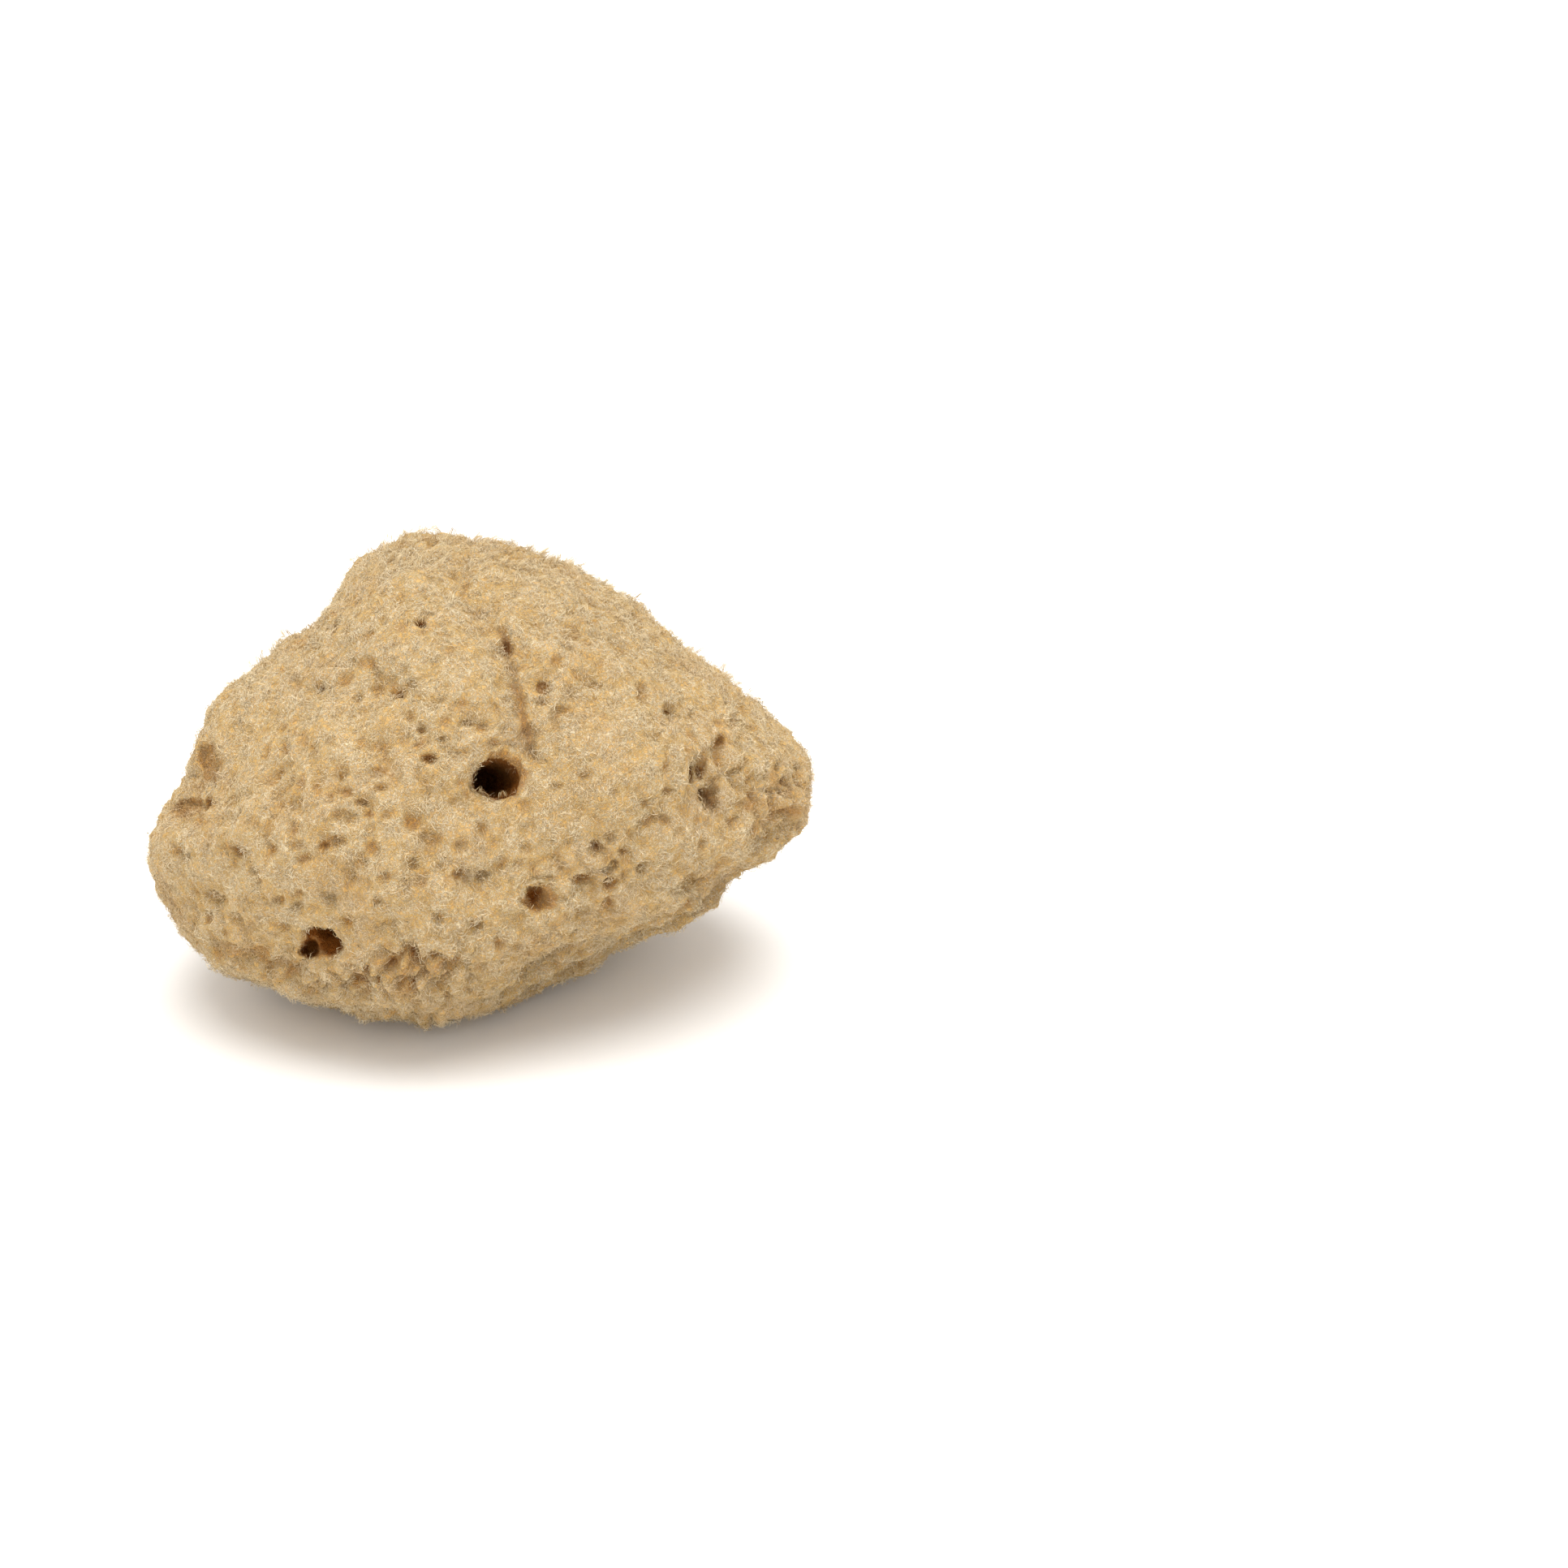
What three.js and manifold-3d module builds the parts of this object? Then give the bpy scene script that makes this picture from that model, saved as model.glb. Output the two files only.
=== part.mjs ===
// A natural sea sponge: one grown piece with a domed fuzzy face, large openings (oscula), pores,
// a crease, a ledge along its lower right rim and a trimmed flat underside. Millimetres, +Z up.
import * as THREE from "three";
import { mergeVertices } from "three/addons/utils/BufferGeometryUtils.js";
import { ImprovedNoise } from "three/addons/math/ImprovedNoise.js";
import Module from "manifold-3d";

const wasm = await Module();
wasm.setup();

// Driving dimensions. The sponge is drawn on a plane that leans back from the floor: u runs to the
// right on it, v up it and w out of it, towards the front.
const LEAN = THREE.MathUtils.degToRad(65); // the plane's angle to the floor
const FRONT_BULGE = 36; // how far the face swells out of the plane
const BACK_BULGE = 39; // how far the back swells behind it
const SOLE_DROP = 33.2; // from the plane's centre down to the trimmed underside
const SKIN_DETAIL = 15; // subdivisions of the icosahedron that the skin starts from

// The widest outline, on the leaning plane, anticlockwise from the right tip.
const RIM = [
  [50, -4.2], [48.6, 3], [43.5, 9.8], [37.6, 14.6], [31.4, 20], [25, 25.4], [17.4, 30.6], [9, 35],
  [-1, 37], [-10.5, 36.8], [-18.6, 32.6], [-24.4, 25.4], [-32.2, 19.2], [-40, 12], [-43.4, 4],
  [-46.4, -2], [-49.6, -8.4], [-47.8, -14], [-44.2, -21.2], [-39, -25.6], [-30, -29.8],
  [-18.6, -33.4], [-7.6, -35.6], [2, -32.6], [12, -29.8], [23, -25.2], [33.4, -20.6], [43, -12.2],
  [47.6, -8],
];

// Lobes (positive) and hollows (negative) of the form, at u, v on the face or the back.
const SWELLINGS = [
  { name: "left lobe", at: [-24, -8], reach: 13, height: 2.5 },
  { name: "right lobe", at: [22, 8], reach: 11, height: 2.6 },
  { name: "crown", at: [-6, 22], reach: 10, height: 2 },
  { name: "lower lip", at: [-10, -26], reach: 8, height: 1.6 },
  { name: "dip round the osculum", at: [4, -1], reach: 7, height: -2.2 },
  { name: "saddle left of the crown", at: [-30, 9], reach: 8, height: -1.8 },
  { name: "left recess", at: [-41.5, 1], reach: 3.6, height: -3 },
  { name: "right recess", at: [34.5, -1], reach: 4, height: -2.6 },
  { name: "back left lobe", at: [-22, 4], back: true, reach: 13, height: 3 },
  { name: "back right lobe", at: [23, -4], back: true, reach: 12, height: 2.6 },
  { name: "back furrow", at: [2, 8], back: true, reach: 7, height: -2.8 },
  { name: "back heel", at: [-2, -20], back: true, reach: 12, height: 3 },
];

// The crease that runs up the face from the osculum, and its section.
const CREASE = [[6, 4], [5.4, 9], [4.8, 16], [2.2, 22], [0.6, 27]];
const CREASE_HALF_WIDTH = 1.8;
const CREASE_DEPTH = 2.4;

// The lip along the lower right of the face. Below it the trimmed flank steps back.
const LIP = [[3, -29.5], [10, -23.6], [19.7, -21.6], [29.5, -17.6], [37, -12.4], [43, -8.2]];
const LIP_STEP = 3;
const LIP_ROUND = 1.8;
const LIP_FADE = 5; // length over which the step fades out at each end of the lip

// Uneven growth: broad lumps and small bumps on the whole skin.
const LUMPS = [
  { size: 17, height: 1.5 },
  { size: 6, height: 0.8 },
];

// Large openings: place on the face or the back, width along u and v, depth, and how far the
// channel bends to the side on its way in.
const OSCULA = [
  { name: "main osculum", at: [2.8, 1.1], width: [6.4, 5.2], depth: 26, bend: -3 },
  { name: "lower left osculum", at: [-22.6, -21.6], width: [5.6, 4.6], depth: 14, bend: -3 },
  { name: "lower right pit", at: [7.9, -16.2], width: [3.6, 3.6], depth: 5, bend: 0 },
  { name: "left recess mouth", at: [-42, -2.5], width: [5.6, 4], depth: 6, bend: 1 },
  { name: "left recess cup", at: [-39.4, 4.4], width: [3.8, 6.6], depth: 4, bend: 0 },
  { name: "right slot", at: [31.9, 1.6], width: [2, 5], depth: 7, bend: 1 },
  { name: "right slot tail", at: [34.7, -2.7], width: [2.8, 4.6], depth: 5, bend: 0 },
  { name: "right window", at: [34.6, 4.4], width: [2.2, 3.6], depth: 6, bend: 0 },
  { name: "left chin pit", at: [-21.4, -15.2], width: [2.8, 2.4], depth: 3, bend: 0 },
  { name: "upper pore", at: [-9.2, 14.2], width: [1.4, 1.2], depth: 5, bend: 0 },
  { name: "back osculum", at: [14, 6], back: true, width: [7, 6.2], depth: 22, bend: 3 },
  { name: "back left osculum", at: [-18, 12], back: true, width: [5.6, 5], depth: 15, bend: -2 },
  { name: "back low pit", at: [-30, -8], back: true, width: [4.6, 4], depth: 8, bend: 0 },
];

// Half section of every opening, from the bottom of the hole to its flared mouth, as shares of the
// half width and of the depth.
const HOLE_SECTION = [[0, -1], [0.6, -0.8], [0.9, -0.35], [1.3, 0]];
const MOUTH_CLEARANCE = 4; // how far a hole's cutter stands out of the skin
const OSCULUM_SIDES = 12;

// Smaller pores, spread evenly over the rest of the skin.
const PORE_COUNT = 58;
const PORE_SIDES = 6;
const PORE_WIDTH = [2, 3.4];
const PORE_SQUASH = 0.85; // a pore's height as a share of its width
const PORE_DEPTH = 3.2;
const PORE_JITTER = 0.6; // how far a pore may turn off its even place, in radians
const PORE_CLEARANCE = 4.5; // from a pore's centre to the rim of an osculum
const PORE_FLOOR_GAP = 7; // lowest height of a pore above the underside

const SPONGE_COLOUR = 0xcbad7e;

const noise = new ImprovedNoise();
const rise = new THREE.Vector3(0, Math.cos(LEAN), Math.sin(LEAN)); // v in the part's frame
const outward = new THREE.Vector3(0, -Math.sin(LEAN), Math.cos(LEAN)); // w in the part's frame
const toFrame = new THREE.Matrix4().makeBasis(new THREE.Vector3(1, 0, 0), rise, outward);

// Distance from the plane's centre to the rim, in a direction given by its angle.
function makeRimRadius() {
  const curve = new THREE.CatmullRomCurve3(RIM.map(([u, v]) => new THREE.Vector3(u, v, 0)), true);
  const steps = 720;
  const radii = new Float64Array(steps);
  const samples = curve.getPoints(8 * steps);
  for (const point of samples) {
    const turn = Math.atan2(point.y, point.x) / (2 * Math.PI);
    radii[Math.round((turn + 1) * steps) % steps] = Math.hypot(point.x, point.y);
  }
  return (angle) => {
    const place = (angle / (2 * Math.PI) + 1) * steps;
    const before = Math.floor(place);
    return THREE.MathUtils.lerp(radii[before % steps], radii[(before + 1) % steps], place - before);
  };
}
const rimRadius = makeRimRadius();

// The plain swollen form: a point and an outward normal for each direction from the centre.
function plainSkin(direction) {
  const angle = Math.atan2(direction.y, direction.x);
  const rim = rimRadius(angle);
  const bulge = direction.z > 0 ? FRONT_BULGE : BACK_BULGE;
  const point = new THREE.Vector3(direction.x * rim, direction.y * rim, direction.z * bulge);
  const normal = new THREE.Vector3(direction.x / rim, direction.y / rim, direction.z / bulge);
  return { point, normal: normal.normalize() };
}

// The direction from the centre to the place u, v on the face or the back.
function directionAt([u, v], back = false) {
  const rim = rimRadius(Math.atan2(v, u));
  const depth = Math.sqrt(Math.max(0, 1 - (u * u + v * v) / (rim * rim)));
  return new THREE.Vector3(u / rim, v / rim, back ? -depth : depth);
}

const bell = (distance, reach) => Math.exp(-(distance * distance) / (2 * reach * reach));

const swellings = SWELLINGS.map((swelling) => ({
  ...swelling,
  centre: plainSkin(directionAt(swelling.at, swelling.back)).point,
}));

const creaseCurve = new THREE.CatmullRomCurve3(
  CREASE.map((place) => plainSkin(directionAt(place)).point),
);
const creasePoints = creaseCurve.getPoints(40);

function creaseDepth(point) {
  const distance = Math.min(...creasePoints.map((onCrease) => onCrease.distanceTo(point)));
  return CREASE_DEPTH * bell(distance, CREASE_HALF_WIDTH);
}

// How far the flank steps back at a point of the face: nothing above the lip, all of it below.
function lipStep(point) {
  const first = LIP[0][0];
  const last = LIP[LIP.length - 1][0];
  if (point.z < 0 || point.x < first || point.x > last) return 0;
  const next = LIP.findIndex(([u]) => u >= point.x);
  const [u1, v1] = LIP[Math.max(next, 1)];
  const [u0, v0] = LIP[Math.max(next, 1) - 1];
  const lipHeight = THREE.MathUtils.mapLinear(point.x, u0, u1, v0, v1);
  const below = THREE.MathUtils.smoothstep(lipHeight - point.y, 0, LIP_ROUND);
  const ends = THREE.MathUtils.smoothstep(point.x, first, first + LIP_FADE)
    * (1 - THREE.MathUtils.smoothstep(point.x, last - LIP_FADE, last));
  return LIP_STEP * below * ends;
}

function skinPoint(direction) {
  const { point, normal } = plainSkin(direction);
  let lift = 0;
  for (const { centre, reach, height } of swellings) {
    lift += height * bell(centre.distanceTo(point), reach);
  }
  for (const { size, height } of LUMPS) {
    lift += height * noise.noise(point.x / size, point.y / size, point.z / size);
  }
  lift -= creaseDepth(point) + lipStep(point);
  return { point: point.addScaledVector(normal, lift), normal };
}

// A closed geometry as a solid that can be joined and cut.
function solidOf(geometry) {
  const bare = geometry.clone();
  bare.deleteAttribute("normal");
  bare.deleteAttribute("uv");
  const merged = mergeVertices(bare);
  const corners = merged.index.array;
  const triangles = [];
  for (let i = 0; i < corners.length; i += 3) {
    const [a, b, c] = corners.slice(i, i + 3);
    if (a !== b && b !== c && c !== a) triangles.push(a, b, c);
  }
  return new wasm.Manifold(new wasm.Mesh({
    numProp: 3,
    vertProperties: merged.attributes.position.array,
    triVerts: new Uint32Array(triangles),
  }));
}

function geometryOf(solid) {
  const { vertProperties, triVerts } = solid.getMesh();
  const geometry = new THREE.BufferGeometry();
  geometry.setAttribute("position", new THREE.BufferAttribute(vertProperties, 3));
  geometry.setIndex(new THREE.BufferAttribute(triVerts, 1));
  geometry.computeVertexNormals();
  return geometry;
}

// The whole skin with its lobes, lumps, crease and ledge, before anything is cut into it.
function makeSkin() {
  const geometry = new THREE.IcosahedronGeometry(1, SKIN_DETAIL);
  const position = geometry.attributes.position;
  const direction = new THREE.Vector3();
  for (let i = 0; i < position.count; i++) {
    direction.fromBufferAttribute(position, i).normalize();
    const { point } = skinPoint(direction);
    position.setXYZ(i, point.x, point.y, point.z);
  }
  return geometry.applyMatrix4(toFrame);
}

// A round-bottomed hole with a flared mouth, cut along the inward normal of the skin.
function makeHole({ at, back, width, depth, bend }, sides) {
  const { point, normal } = skinPoint(directionAt(at, back));
  const mouth = HOLE_SECTION[HOLE_SECTION.length - 1][0] / 2;
  const profile = HOLE_SECTION.map(([radius, height]) => new THREE.Vector2(radius / 2, height * depth));
  profile.push(new THREE.Vector2(mouth, MOUTH_CLEARANCE), new THREE.Vector2(0, MOUTH_CLEARANCE));
  const geometry = new THREE.LatheGeometry(profile, sides);
  const position = geometry.attributes.position;
  for (let i = 0; i < position.count; i++) {
    const inward = Math.max(0, -position.getY(i)) / depth;
    position.setX(i, position.getX(i) * width[0] + bend * inward * inward);
    position.setZ(i, position.getZ(i) * width[1]);
  }
  const across = new THREE.Vector3(1, 0, 0).addScaledVector(normal, -normal.x).normalize();
  const along = new THREE.Vector3().crossVectors(across, normal);
  const place = new THREE.Matrix4().makeBasis(across, normal, along).setPosition(point);
  return solidOf(geometry.applyMatrix4(place.premultiply(toFrame)));
}

// Evenly spread pores, on a spiral from the top of the face to the bottom of the back.
function listPores() {
  const golden = Math.PI * (3 - Math.sqrt(5));
  const mouths = OSCULA.map((osculum) => ({
    centre: skinPoint(directionAt(osculum.at, osculum.back)).point,
    radius: Math.max(...osculum.width) / 2,
  }));
  const pores = [];
  for (let i = 0; i < PORE_COUNT; i++) {
    const z = 1 - (2 * i + 1) / PORE_COUNT;
    const ring = Math.sqrt(1 - z * z);
    const turn = golden * i + PORE_JITTER * noise.noise(i * 0.7, 3.1, 5.7);
    const direction = new THREE.Vector3(ring * Math.cos(turn), ring * Math.sin(turn), z);
    const { point } = skinPoint(direction);
    const height = point.clone().applyMatrix4(toFrame).z + SOLE_DROP;
    const clear = mouths.every(({ centre, radius }) =>
      centre.distanceTo(point) > radius + PORE_CLEARANCE);
    if (!clear || height < PORE_FLOOR_GAP) continue;
    const share = 0.5 + 0.5 * noise.noise(i * 1.3, 8.2, 0.4);
    const size = THREE.MathUtils.lerp(PORE_WIDTH[0], PORE_WIDTH[1], share);
    const { point: plain } = plainSkin(direction);
    pores.push({
      at: [plain.x, plain.y],
      back: z < 0,
      width: [size, PORE_SQUASH * size],
      depth: PORE_DEPTH,
      bend: 0,
    });
  }
  return pores;
}

// The slab of space under the floor, which trims the underside flat.
function makeFloor() {
  const side = 200;
  const slab = new THREE.BoxGeometry(side, side, side);
  return solidOf(slab.translate(0, 0, -SOLE_DROP - side / 2));
}

function makeSponge() {
  let solid = solidOf(makeSkin()).subtract(makeFloor());
  for (const osculum of OSCULA) solid = solid.subtract(makeHole(osculum, OSCULUM_SIDES));
  for (const pore of listPores()) solid = solid.subtract(makeHole(pore, PORE_SIDES));
  const geometry = geometryOf(solid);
  geometry.computeBoundingBox();
  const { min, max } = geometry.boundingBox;
  geometry.translate(-(min.x + max.x) / 2, -(min.y + max.y) / 2, -min.z);
  const material = new THREE.MeshStandardMaterial({
    color: SPONGE_COLOUR, roughness: 0.95, metalness: 0,
  });
  const sponge = new THREE.Mesh(geometry, material);
  sponge.name = "sponge";
  return sponge;
}

const part = new THREE.Group();
part.add(makeSponge());

export default part;
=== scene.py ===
import math
import bmesh
import bpy
import numpy as np
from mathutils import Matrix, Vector, bvhtree, kdtree, noise


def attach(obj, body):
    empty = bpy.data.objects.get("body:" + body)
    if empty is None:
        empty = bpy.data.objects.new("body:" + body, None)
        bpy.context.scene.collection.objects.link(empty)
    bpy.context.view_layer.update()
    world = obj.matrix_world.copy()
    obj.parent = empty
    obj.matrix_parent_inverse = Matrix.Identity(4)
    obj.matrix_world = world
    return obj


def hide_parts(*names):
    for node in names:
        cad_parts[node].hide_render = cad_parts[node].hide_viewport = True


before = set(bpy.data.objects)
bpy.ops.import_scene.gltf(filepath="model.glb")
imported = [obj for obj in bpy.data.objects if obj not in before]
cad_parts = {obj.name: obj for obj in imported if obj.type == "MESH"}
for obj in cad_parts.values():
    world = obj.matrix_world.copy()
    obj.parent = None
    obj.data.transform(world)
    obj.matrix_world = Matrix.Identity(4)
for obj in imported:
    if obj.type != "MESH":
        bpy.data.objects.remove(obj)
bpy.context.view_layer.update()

mm = 0.001
seed = 25
rng = np.random.default_rng(seed)
noise.seed_set(seed)  # the vector noise is seeded from the clock otherwise
scene = bpy.context.scene

# How the sponge stands in the picture: the middle of its face, and how far down the eye looks.
photo = {
    "side": 1932,  # pixels
    "faceAt": (590, 955),  # pixels
    "faceMiddle": (-0.35, -0.83, 33.2),  # mm in the frame
    "pixelsPerMm": 8.275,
    "lookDown": 25.0,  # degrees
    "lens": 105.0,
    "sensor": 36.0,
}

tilt = math.radians(photo["lookDown"])
rightward = Vector((1, 0, 0))
upward = Vector((0, math.sin(tilt), math.cos(tilt)))
outward = Vector((0, -math.cos(tilt), math.sin(tilt)))
focalPixels = photo["side"] * photo["lens"] / photo["sensor"]


def linkObject(name, data):
    item = bpy.data.objects.new(name, data)
    scene.collection.objects.link(item)
    return item


def makeCamera():
    half = photo["side"] / 2
    middle = Vector(photo["faceMiddle"])
    place = middle + outward * (focalPixels / photo["pixelsPerMm"])
    across = (half - photo["faceAt"][0]) / photo["pixelsPerMm"]
    along = (photo["faceAt"][1] - half) / photo["pixelsPerMm"]
    aim = middle + rightward * across + upward * along
    data = bpy.data.cameras.new("photo_camera")
    data.lens = photo["lens"]
    data.sensor_width = photo["sensor"]
    data.clip_start = 0.01
    camera = linkObject("photo_camera", data)
    camera.location = place * mm
    camera.rotation_euler = (aim - place).to_track_quat("-Z", "Y").to_euler()
    scene.camera = camera
    return camera


camera = makeCamera()
eyeMatrix = np.array(camera.matrix_basis.inverted())
eyePlace = np.array(camera.location) / mm


def photoPixels(points):
    local = points * mm @ eyeMatrix[:3, :3].T + eyeMatrix[:3, 3]
    half = photo["side"] / 2
    across = half - focalPixels * local[:, 0] / local[:, 2]
    down = half + focalPixels * local[:, 1] / local[:, 2]
    return np.stack([across, down], 1)


def unit(vectors):
    return vectors / np.maximum(np.linalg.norm(vectors, axis=1, keepdims=True), 1e-9)


def ease(low, high, values):
    t = np.clip((values - low) / (high - low), 0, 1)
    return t * t * (3 - 2 * t)


def noiseAt(points, size, shift=0.0):
    offset = Vector((shift, shift * 1.7, -shift))
    return np.array([noise.noise(Vector(p) / size + offset) for p in points])


def noiseVectors(points, size, shift=0.0):
    offset = Vector((shift, shift * 1.7, -shift))
    return np.array([noise.noise_vector(Vector(p) / size + offset) for p in points])


def relax(values, edges, rounds, strength=0.5):
    count = np.bincount(edges.ravel(), minlength=len(values))[:, None]
    for _ in range(rounds):
        total = np.empty_like(values)
        for k in range(values.shape[1]):
            fromSecond = np.bincount(edges[:, 0], values[edges[:, 1], k], len(values))
            fromFirst = np.bincount(edges[:, 1], values[edges[:, 0], k], len(values))
            total[:, k] = fromSecond + fromFirst
        values = values + strength * (total / count - values)
    return values


def quadCrosses(points, quads):
    first = points[quads[:, 2]] - points[quads[:, 0]]
    second = points[quads[:, 3]] - points[quads[:, 1]]
    return np.cross(first, second)


def pointNormals(points, quads):
    crosses = quadCrosses(points, quads)
    total = np.zeros_like(points)
    for corner in range(4):
        for k in range(3):
            total[:, k] += np.bincount(quads[:, corner], crosses[:, k], len(points))
    return unit(total)


def treeOf(points):
    tree = kdtree.KDTree(len(points))
    for i, p in enumerate(points):
        tree.insert(p, i)
    tree.balance()
    return tree


def scatter(points, spacing):
    # Points at least a spacing apart, taken in a shuffled order.
    taken = {}
    chosen = []
    for i in rng.permutation(len(points)):
        p = points[i]
        cell = tuple((p // spacing).astype(int))
        near = (
            taken.get((cell[0] + a, cell[1] + b, cell[2] + c))
            for a in (-1, 0, 1)
            for b in (-1, 0, 1)
            for c in (-1, 0, 1)
        )
        if all(q is None or np.sum((q - p) ** 2) > spacing**2 for q in near):
            taken[cell] = p
            chosen.append(i)
    return np.array(chosen)


# The solid core under the fibres. Sizes in mm.
core = {
    "voxel": 0.585,
    "relaxRounds": 8,
    "normalRounds": 12,  # further rounds for the normals that the relief follows
    "shrink": (0.985, 0.985, 0.988),  # leaves room for the fibres inside the outline
    "crownHeights": (20, 40),
    "faceTurn": (0.02, 0.3),  # how far a spot faces the eye, from no marks to full marks
    "lumpTurn": (-0.1, 0.15),
    "tuftSpacing": 2.3,
    "tuftHeight": (0.3, 0.5),  # on the face, on the crown
    "tuftSharpness": 1.3,
    "dimpleSpacing": 2.4,
    "dimpleWidth": (0.8, 2.0),
    "dimpleDepth": (0.5, 1.6),
    "dimpleStretch": (1.0, 2.0),
    "dimpleMargin": 0.3,
    "dimplePatch": 14.0,  # size of the patches with deep and with shallow dimples
    "faceDimples": 0.6,  # share of the dimples' depth left on the face, which has pits of its own
    "lumpSize": 5.0,
    "lumpHeight": 1.2,
    "clumpSize": 1.9,
    "grainSize": 1.3,
    "grainHeight": 0.4,
    "wallRelief": 0.12,  # share of the relief left inside the openings
    "foldRagged": 7,  # photo pixels by which folds and ledges stray
    "ledgeRagged": 3,
    "raggedSize": 2.2,
    "knobSize": 3.4,
    "knobHeight": 2.3,
    "rimTear": 1.1,
    "rimTearSize": 1.2,
    "soleBlend": (0.3, 3.5),  # heights over which the relief grows from the flat sole
    "skyRays": (6, 12),  # before and after the relief
    "skyReach": 9.0,
    "skyDark": (0.65, 0.05),  # share of open sky, from no shade to the darkest
}

# Mouths of the large openings, kept free of relief: x, y, width, height in photo pixels.
faceMouths = [
    (617, 955, 66, 60),
    (396, 1163, 58, 40),
    (665, 1108, 44, 38),
]

# Recesses that go in along the line of sight: x, y, width, height in photo pixels, depth in mm, and
# how dark the painted shade in them may get, from 0 to 1.
faceShafts = [
    (382, 1169, 24, 24, 5.0, 1.0),
    (662, 1110, 34, 28, 1.2, 1.0),
    (263, 940, 34, 60, 2.2, 0.52),
    (231, 998, 50, 26, 2.8, 0.55),
    (262, 990, 16, 14, 0.8, 0.7),
    (884, 920, 16, 32, 1.8, 0.8),
    (877, 982, 20, 40, 1.5, 0.8),
    (862, 945, 12, 38, 2.0, 0.8),
]

# Pits on the face: x, y, width, height in photo pixels, depth in mm.
facePits = [
    (735, 1046, 17, 15, 1.8),
    (716, 1083, 26, 15, 1.7),
    (690, 1068, 14, 12, 0.9),
    (757, 1065, 8, 8, 1.0),
    (752, 1032, 16, 15, 1.0),
    (752, 1090, 18, 15, 1.9),
    (750, 1115, 14, 12, 1.3),
    (791, 1077, 12, 11, 1.1),
    (768, 1051, 10, 8, 0.8),
    (592, 1018, 16, 12, 0.9),
    (588, 1142, 16, 12, 1.1),
    (616, 1160, 14, 14, 1.0),
    (825, 975, 14, 11, 1.0),
    (795, 990, 13, 15, 0.9),
    (755, 977, 11, 11, 0.8),
    (686, 968, 14, 10, 0.9),
    (815, 1010, 26, 13, 0.8),
    (720, 955, 20, 10, 0.8),
    (968, 963, 17, 13, 1.3),
    (975, 1001, 27, 17, 1.4),
    (905, 885, 11, 17, 0.9),
    (825, 873, 18, 17, 0.9),
    (790, 845, 15, 14, 0.8),
    (735, 842, 17, 11, 1.0),
    (690, 876, 22, 13, 0.9),
    (668, 864, 18, 12, 0.8),
    (705, 780, 20, 14, 0.8),
    (620, 792, 9, 16, 1.0),
    (592, 755, 16, 10, 0.7),
    (575, 720, 10, 12, 0.6),
    (505, 842, 15, 11, 1.2),
    (484, 853, 15, 12, 1.0),
    (462, 823, 14, 18, 1.0),
    (440, 858, 11, 8, 0.7),
    (566, 872, 30, 20, 0.8),
    (573, 891, 19, 10, 1.0),
    (545, 862, 13, 11, 0.7),
    (593, 896, 13, 13, 1.0),
    (528, 935, 21, 11, 1.6),
    (513, 920, 11, 11, 0.9),
    (545, 910, 18, 8, 1.0),
    (570, 927, 15, 10, 0.9),
    (467, 950, 20, 13, 0.8),
    (469, 971, 15, 10, 1.1),
    (473, 931, 8, 8, 0.8),
    (420, 957, 12, 10, 1.0),
    (408, 984, 11, 13, 1.1),
    (427, 977, 15, 12, 0.9),
    (445, 988, 15, 10, 1.0),
    (455, 1005, 13, 10, 1.0),
    (416, 1037, 23, 14, 1.0),
    (397, 1045, 11, 11, 1.3),
    (362, 1020, 15, 20, 0.8),
    (366, 1042, 16, 14, 0.9),
    (374, 1057, 19, 12, 1.2),
    (291, 1050, 15, 12, 1.3),
    (508, 1012, 19, 24, 0.9),
    (530, 1033, 32, 18, 0.7),
    (508, 1065, 13, 17, 1.0),
    (474, 1080, 18, 13, 0.9),
    (543, 1070, 14, 10, 0.8),
    (565, 1077, 16, 12, 0.9),
    (520, 1086, 22, 14, 0.7),
    (540, 1130, 13, 14, 0.9),
    (465, 1110, 11, 11, 0.7),
    (427, 1136, 14, 13, 1.1),
    (350, 1145, 12, 12, 1.1),
    (343, 1110, 17, 12, 0.9),
    (365, 1118, 16, 10, 0.8),
    (368, 1101, 11, 10, 0.9),
    (320, 1085, 9, 9, 0.8),
    (275, 1108, 17, 12, 0.7),
    (256, 1133, 10, 13, 0.9),
    (311, 1075, 17, 12, 0.7),
    (450, 1220, 18, 15, 1.4),
    (437, 1182, 17, 7, 1.2),
    (447, 1196, 24, 18, 0.9),
    (406, 1205, 21, 12, 1.0),
    (386, 1213, 22, 15, 0.8),
    (510, 1184, 16, 20, 1.3),
    (494, 1206, 12, 12, 1.4),
    (505, 1217, 17, 14, 0.8),
    (548, 1228, 13, 16, 1.3),
    (577, 1219, 16, 10, 0.9),
    (533, 1174, 14, 10, 0.9),
    (690, 1176, 24, 15, 1.0),
    (715, 1181, 20, 12, 0.9),
    (762, 1160, 22, 12, 0.8),
]

# Little lumps that stand out: x, y, width, height in photo pixels, height in mm.
faceLumps = [
    (246, 1004, 24, 20, 1.6),
    (522, 1252, 16, 18, 1.5),
    (541, 1249, 16, 14, 1.2),
    (497, 1188, 26, 18, 0.8),
    (525, 1205, 24, 16, 0.9),
]

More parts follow.
